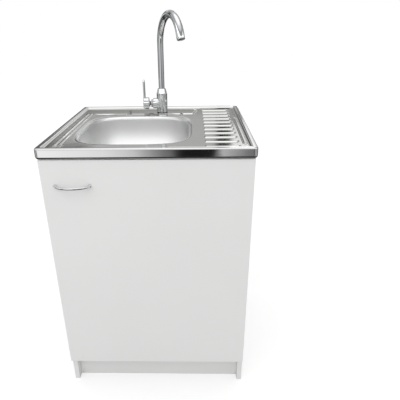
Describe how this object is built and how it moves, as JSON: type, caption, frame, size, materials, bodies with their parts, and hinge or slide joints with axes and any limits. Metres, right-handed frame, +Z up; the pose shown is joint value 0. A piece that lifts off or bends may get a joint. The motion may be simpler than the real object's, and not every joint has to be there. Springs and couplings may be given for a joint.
{
  "type": "kitchen sink unit",
  "caption": "White base cabinet with a hinged door, a lay-on stainless sink top with bowl and ribbed drainer, a swan-neck lever tap and the waste trap below.",
  "frame": {"origin": "on the floor, under the middle of the unit's bounding box", "axes": "+Z up, +Y towards the wall behind, +X to the right as seen from the front; the door faces -Y"},
  "size_m": [0.6, 0.6229, 1.1826],
  "materials": {
    "laminate": "white laminated chipboard",
    "hardboard": "thin white-faced hardboard",
    "steel": "pressed stainless sheet, satin",
    "chrome": "polished chrome plating",
    "zinc": "zinc-plated steel",
    "white_plastic": "white moulded polypropylene",
    "rubber": "black moulded rubber"
  },
  "bodies": {
    "unit": {"side_panel_left": "laminate", "side_panel_right": "laminate", "bottom_panel": "laminate", "plinth_board": "laminate", "front_rail": "laminate", "rear_rail": "laminate", "back_panel": "hardboard", "sink_deck": "steel", "sink_bowl": "steel", "drain_strainer": "chrome", "overflow_rose": "chrome", "tap_body": "chrome", "hinge_arm_upper": "zinc", "hinge_plate_upper": "zinc", "hinge_arm_lower": "zinc", "hinge_plate_lower": "zinc", "sink_clip_left_front": "zinc", "sink_clip_left_rear": "zinc", "sink_clip_right_front": "zinc", "sink_clip_right_rear": "zinc", "drain_screw": "zinc", "overflow_screw": "zinc", "tap_cartridge": "zinc", "tap_shank": "zinc", "tap_nut": "zinc", "drain_body": "white_plastic", "drop_pipe": "white_plastic", "blanking_cap": "white_plastic", "wing_nut": "white_plastic", "trap_bend": "white_plastic", "slip_nut": "white_plastic", "outlet_pipe": "white_plastic", "overflow_housing": "white_plastic", "overflow_pipe": "white_plastic", "overflow_nut": "white_plastic", "drain_gasket": "rubber", "overflow_gasket": "rubber", "tap_gasket": "rubber", "tap_washer": "rubber"},
    "door": {"door_panel": "laminate", "door_handle": "chrome", "handle_screw_left": "zinc", "handle_screw_right": "zinc", "hinge_cup_upper": "zinc", "hinge_pin_upper": "zinc", "hinge_cup_lower": "zinc", "hinge_pin_lower": "zinc"},
    "spout": {"tap_spout": "chrome", "tap_aerator": "chrome"},
    "tap_turner": {"tap_ball": "zinc"},
    "lever": {"tap_lever": "chrome"},
    "plug": {"drain_plug": "rubber", "plug_ring": "chrome"}
  },
  "joints": [
    {"name": "door_hinge", "type": "hinge", "parent": "unit", "child": "door", "pos_m": [0.2879, -0.27345, 0.458], "axis": [0, 0, 1], "range_deg": [0, 95]},
    {"name": "spout_swivel", "type": "hinge", "parent": "unit", "child": "spout", "pos_m": [0.015, 0.19655, 0.95], "axis": [0, 0, 1], "continuous": true},
    {"name": "temperature_turn", "type": "hinge", "parent": "unit", "child": "tap_turner", "pos_m": [-0.0366, 0.19655, 0.8811], "axis": [1, 0, 0], "range_deg": [-45, 45]},
    {"name": "flow_tilt", "type": "hinge", "parent": "tap_turner", "child": "lever", "pos_m": [-0.0366, 0.19655, 0.8811], "axis": [0, -1, 0], "range_deg": [0, 22]},
    {"name": "plug_lift", "type": "slide", "parent": "unit", "child": "plug", "axis": [0, 0, 1], "range_m": [0, 0.15]}
  ]
}
